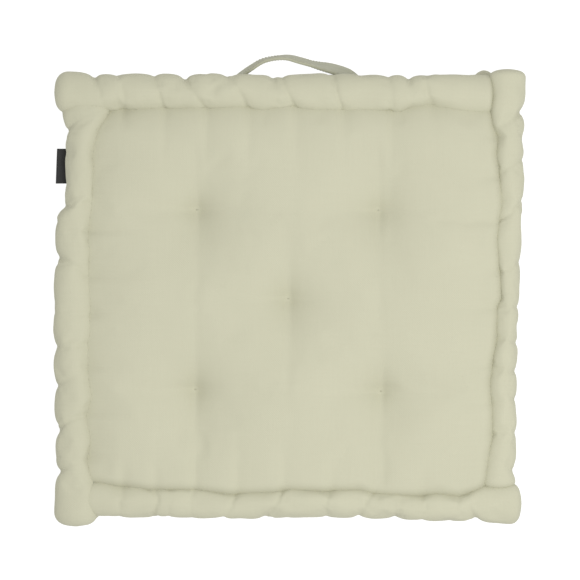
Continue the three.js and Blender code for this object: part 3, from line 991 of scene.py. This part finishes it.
# The side label: a short length of black woven ribbon, folded double and caught in
# the seam between the left band and its upper roll. It is blank.
label_low, label_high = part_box("side_label")
label_steps = 40
label_layer = 0.00045
bpy.ops.mesh.primitive_grid_add(x_subdivisions=label_steps, y_subdivisions=30, size=2)
label = bpy.context.object
label.name = label.data.name = "side_label_ribbon"
label_long = label_high.y - label_low.y
label_reach = label_high.x - label_low.x - 0.0018
scale_weave(label, 2 * label_reach, label_long)
flat = vertices_of(label)
fold_radius = (label_high.z - label_low.z - label_layer) / 2
straight = label_reach - fold_radius
run = flat[:, 0] * (straight + math.pi / 2 * fold_radius)
turned = np.clip(np.abs(run) / fold_radius, 0, math.pi / 2) * np.sign(run)
beyond = np.clip(np.abs(run) - math.pi / 2 * fold_radius, 0, None)
label_x = label_high.x - label_reach + label_layer / 2 + fold_radius - fold_radius * np.cos(turned) + beyond
label_z = (label_low.z + label_high.z) / 2 + fold_radius * np.sin(turned)
label_y = (label_low.y + label_high.y) / 2 + flat[:, 1] * label_long / 2
out_share = (label_high.x - label_x) / label_reach
label_z += out_share * 0.0005 * np.sin(flat[:, 1] * 2.2 + 0.4) - 0.0003 * out_share
label_x += 0.0006 * (1 + flat[:, 1]) * out_share
move_vertices(label, np.stack([label_x, label_y, label_z], axis=1))
ribbon_wall = label.modifiers.new("ribbon", "SOLIDIFY")
ribbon_wall.thickness = label_layer
ribbon_wall.offset = 0
apply_modifiers(label)
bpy.ops.object.shade_smooth_by_angle(angle=math.radians(50))
label.select_set(False)


def ribbon_weave(name, colour, thread_colour, pitch):
    """Dense black satin ribbon: fine ribs across it and a slight lustre."""
    material, nodes, links, shader = new_material(name)
    place = nodes.new("ShaderNodeTexCoord")
    split = nodes.new("ShaderNodeSeparateXYZ")
    links.new(place.outputs["UV"], split.inputs[0])
    ribs = thread_waves(nodes, links, split.outputs["Y"], pitch / 2)
    fine = thread_waves(nodes, links, split.outputs["X"], pitch * 0.35)
    height = math_node(nodes, links, "ADD", ribs, math_node(nodes, links, "MULTIPLY", fine, 0.5))
    wear = noise_node(nodes, links, place.outputs["Object"], 260.0, 2.0)
    blend = nodes.new("ShaderNodeMix")
    blend.data_type = "RGBA"
    links.new(wear, blend.inputs["Factor"])
    blend.inputs["A"].default_value = (*colour, 1)
    blend.inputs["B"].default_value = (*thread_colour, 1)
    links.new(blend.outputs["Result"], shader.inputs["Base Color"])
    bump = nodes.new("ShaderNodeBump")
    bump.inputs["Strength"].default_value = 0.4
    bump.inputs["Distance"].default_value = 0.00006
    links.new(height, bump.inputs["Height"])
    links.new(bump.outputs["Normal"], shader.inputs["Normal"])
    shader.inputs["Roughness"].default_value = 0.55
    shader.inputs["Sheen Weight"].default_value = 0.05
    return material


ribbon = ribbon_weave("black_ribbon", (0.004, 0.004, 0.004), (0.012, 0.012, 0.012), 0.0005)
label.data.materials.append(ribbon)
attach(label, "label")
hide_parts("side_label")


# A plain pale floor that glows evenly, so that it shows hardly a shadow, a broad soft lamp
# from the front right and an even pale surround, with the camera straight above.
bpy.ops.mesh.primitive_plane_add(size=8)
floor = bpy.context.object
floor.name = "floor"
floor_paint, _, _, floor_shader = new_material("floor_paint")
floor_shader.inputs["Base Color"].default_value = (0.2, 0.2, 0.2, 1)
floor_shader.inputs["Emission Color"].default_value = (1, 1, 1, 1)
floor_shader.inputs["Emission Strength"].default_value = 0.92
floor_shader.inputs["Roughness"].default_value = 1.0
floor.data.materials.append(floor_paint)

world = bpy.data.worlds.new("surround")
world.use_nodes = True
world.node_tree.nodes["Background"].inputs["Color"].default_value = (1.0, 1.0, 1.0, 1)
world.node_tree.nodes["Background"].inputs["Strength"].default_value = 0.72
bpy.context.scene.world = world

lamp = bpy.data.objects.new("soft_lamp", bpy.data.lights.new("soft_lamp", "AREA"))
bpy.context.collection.objects.link(lamp)
lamp.data.shape = "DISK"
lamp.data.size = 0.8
lamp.data.energy = 14.0
lamp.location = (0.37, -0.13, 1.42)
lamp.rotation_euler = (Vector((0, 0, 0.04)) - lamp.location).to_track_quat("-Z", "Y").to_euler()

camera = bpy.data.objects.new("camera", bpy.data.cameras.new("camera"))
bpy.context.collection.objects.link(camera)
camera_height = 3.0
view_width, view_level = 0.5133, 0.068
camera.location = (0.0013, -0.0020, camera_height)
camera.data.sensor_width = 36
camera.data.lens = camera.data.sensor_width * (camera_height - view_level) / view_width
bpy.context.scene.camera = camera
bpy.context.scene.view_settings.view_transform = "Standard"
